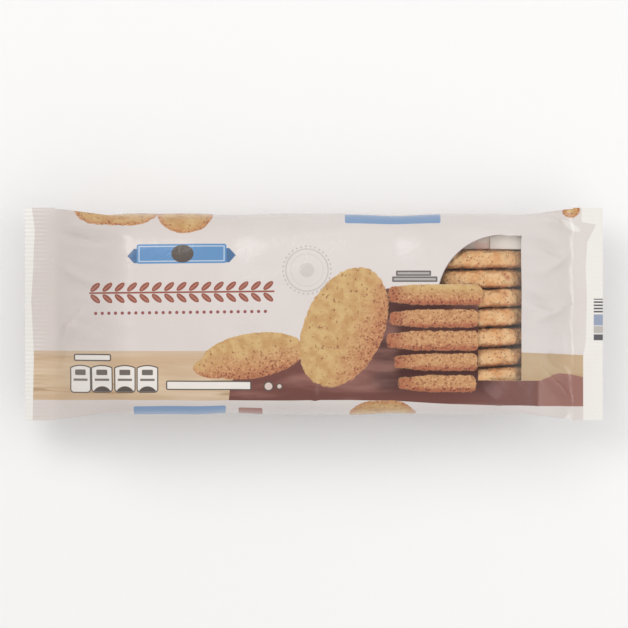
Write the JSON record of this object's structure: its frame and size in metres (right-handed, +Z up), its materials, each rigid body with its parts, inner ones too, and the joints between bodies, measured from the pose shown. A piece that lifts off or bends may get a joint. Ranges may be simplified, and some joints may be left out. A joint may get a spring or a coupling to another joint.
{
  "type": "pack of oatmeal cookies",
  "caption": "Flow-wrapped pack of oatmeal cookies lying on its back, with crimped end fins and a clear window over a row of cookies on edge in a tray.",
  "frame": {"origin": "middle of the pack's footprint, on the surface that it lies on", "axes": "+X along the pack towards the window end, +Y towards the top edge of the printed front, +Z up out of the front"},
  "size_m": [0.2726, 0.1002, 0.0644],
  "materials": {
    "printed_film": "printed plastic film, satin",
    "clear_film": "clear plastic film, glossy",
    "tray_plastic": "thin moulded cream plastic",
    "baked_oats": "baked oat crumb, matte"
  },
  "bodies": {
    "root": {"wrapper": "printed_film", "tray": "tray_plastic", "cookie_1": "baked_oats", "cookie_2": "baked_oats", "cookie_3": "baked_oats", "cookie_4": "baked_oats", "cookie_5": "baked_oats", "cookie_6": "baked_oats", "cookie_7": "baked_oats"}
  },
  "joints": []
}
